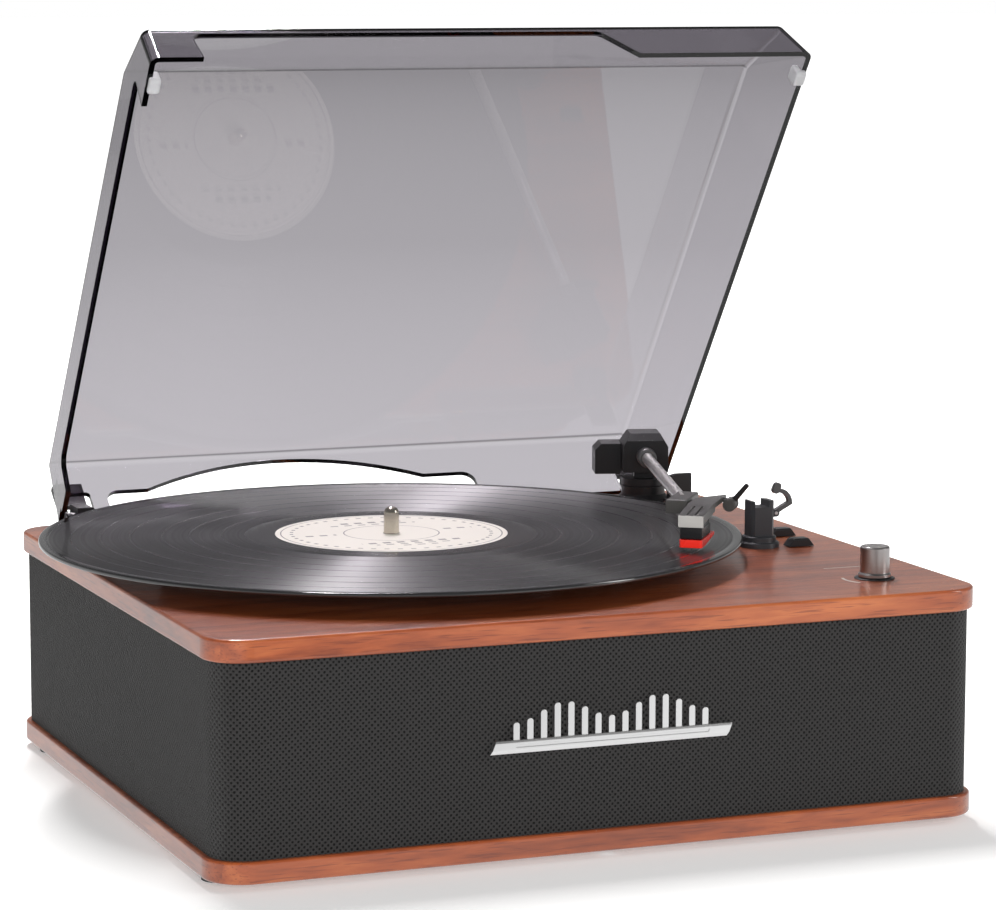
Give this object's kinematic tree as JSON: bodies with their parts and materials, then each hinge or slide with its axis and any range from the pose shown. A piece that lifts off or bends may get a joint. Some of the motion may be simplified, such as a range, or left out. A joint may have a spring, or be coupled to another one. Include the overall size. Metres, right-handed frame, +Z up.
{
  "type": "record player",
  "caption": "Table-top record player with a wood deck and base, woven speaker grille, straight tonearm with offset headshell, hinged smoked lid and a record on the platter.",
  "frame": {"origin": "middle of the whole part's footprint on the table, record overhang and open lid included", "axes": "+X right along the front, +Y to the back, +Z up; the badge faces -Y"},
  "size_m": [0.3506, 0.322, 0.3238],
  "materials": {
    "wood": "satin veneer",
    "wall_board": "black stained board",
    "grille": "woven mesh",
    "rubber": "matt",
    "screw_steel": "plated",
    "chrome": "polished",
    "ornament": "bright white metal",
    "vinyl": "pressed grooves",
    "paper": "printed paper",
    "black_plastic": "satin moulding",
    "grey_plastic": "satin moulding",
    "felt": "felt",
    "steel": "plain",
    "aluminium": "satin",
    "brass": "turned",
    "iron": "painted weight",
    "red_plastic": "moulding",
    "knob_metal": "satin turned",
    "smoked_acrylic": "polished",
    "clear_rubber": "translucent",
    "cone_paper": "pressed paper",
    "magnet": "ferrite",
    "board": "printed board",
    "gold": "plated"
  },
  "bodies": {
    "root": {"deck_panel": "wood", "base_plate": "wood", "cabinet_walls": "wall_board", "grille_sleeve": "grille", "rubber_feet": "rubber", "base_screws": "screw_steel", "badge_bar": "chrome", "badge_uprights": "ornament", "platter_bearing": "brass", "mechanism_plate": "steel", "drive_motor": "steel", "drive_belt": "rubber", "tonearm_pedestal": "black_plastic", "arm_rest": "black_plastic", "lever_pins": "steel", "cue_bracket": "black_plastic", "knob_ring": "black_plastic", "potentiometer": "steel", "potentiometer_nut": "steel", "switch_bodies": "black_plastic", "hinge_bases": "black_plastic", "hinge_pins": "steel", "speaker_baskets": "steel", "speaker_cones": "cone_paper", "speaker_magnets": "magnet", "amplifier_board": "board", "board_standoffs": "brass", "board_parts": "aluminium", "rear_panel": "black_plastic", "rca_sockets": "gold", "aux_socket": "black_plastic", "dc_inlet": "black_plastic"},
    "turntable": {"platter": "black_plastic", "platter_mat": "felt", "spindle": "steel", "vinyl_record": "vinyl", "record_label": "paper"},
    "pulley": {"motor_pulley": "brass"},
    "arm_swing": {"arm_yoke": "black_plastic"},
    "tonearm": {"tilt_pin": "steel", "pivot_housing": "black_plastic", "counterweight_box": "iron", "tube_collar": "grey_plastic", "tonearm_tube": "aluminium", "headshell": "grey_plastic", "lift_socket": "grey_plastic", "finger_lift": "black_plastic", "cartridge": "black_plastic", "stylus": "red_plastic", "needle": "aluminium"},
    "clip": {"rest_clip": "grey_plastic"},
    "cue": {"cue_lever": "grey_plastic"},
    "knob": {"volume_knob": "knob_metal", "volume_shaft": "steel"},
    "speed": {"speed_switch": "black_plastic"},
    "auto_stop": {"auto_stop_switch": "black_plastic"},
    "lid": {"lid_shell": "smoked_acrylic", "lid_bumpers": "clear_rubber", "hinge_leaves": "black_plastic", "hinge_screws": "screw_steel"}
  },
  "joints": [
    {"name": "lid_hinge", "type": "hinge", "parent": "root", "child": "lid", "pos_m": [0.0098, 0.12498, 0.1029], "axis": [-1, 0, 0], "range_deg": [-53.84, 0]},
    {"name": "platter_spin", "type": "hinge", "parent": "root", "child": "turntable", "pos_m": [-0.0245, 0.00294, 0.1082], "axis": [0, 0, -1], "continuous": true},
    {"name": "pulley_spin", "type": "hinge", "parent": "root", "child": "pulley", "pos_m": [0.00423, -0.076, 0.0932], "axis": [0, 0, -1], "continuous": true},
    {"name": "tonearm_swing", "type": "hinge", "parent": "root", "child": "arm_swing", "pos_m": [0.1375, 0.10114, 0.1072], "axis": [0, 0, 1], "range_deg": [-23.9, 16.4]},
    {"name": "tonearm_lift", "type": "hinge", "parent": "arm_swing", "child": "tonearm", "pos_m": [0.1375, 0.10114, 0.1182], "axis": [-0.9511, 0.309, 0], "range_deg": [0, 18]},
    {"name": "rest_clip_turn", "type": "hinge", "parent": "root", "child": "clip", "pos_m": [0.14125, -0.03087, 0.1128], "axis": [0, 1, 0], "range_deg": [-42, 0]},
    {"name": "cue_lever_tilt", "type": "hinge", "parent": "root", "child": "cue", "pos_m": [0.147, 0.08113, 0.1016], "axis": [1, 0, 0], "range_deg": [0, 60]},
    {"name": "volume_turn", "type": "hinge", "parent": "root", "child": "knob", "pos_m": [0.1431, -0.12287, 0.0982], "axis": [0, 0, 1], "range_deg": [-150, 150]},
    {"name": "speed_slide", "type": "slide", "parent": "root", "child": "speed", "axis": [1, 0, 0], "range_m": [0, 0.004]},
    {"name": "auto_stop_slide", "type": "slide", "parent": "root", "child": "auto_stop", "axis": [1, 0, 0], "range_m": [0, 0.004]}
  ],
  "couplings": [
    {"joint": "pulley_spin", "follows": "platter_spin", "ratio": 12}
  ]
}
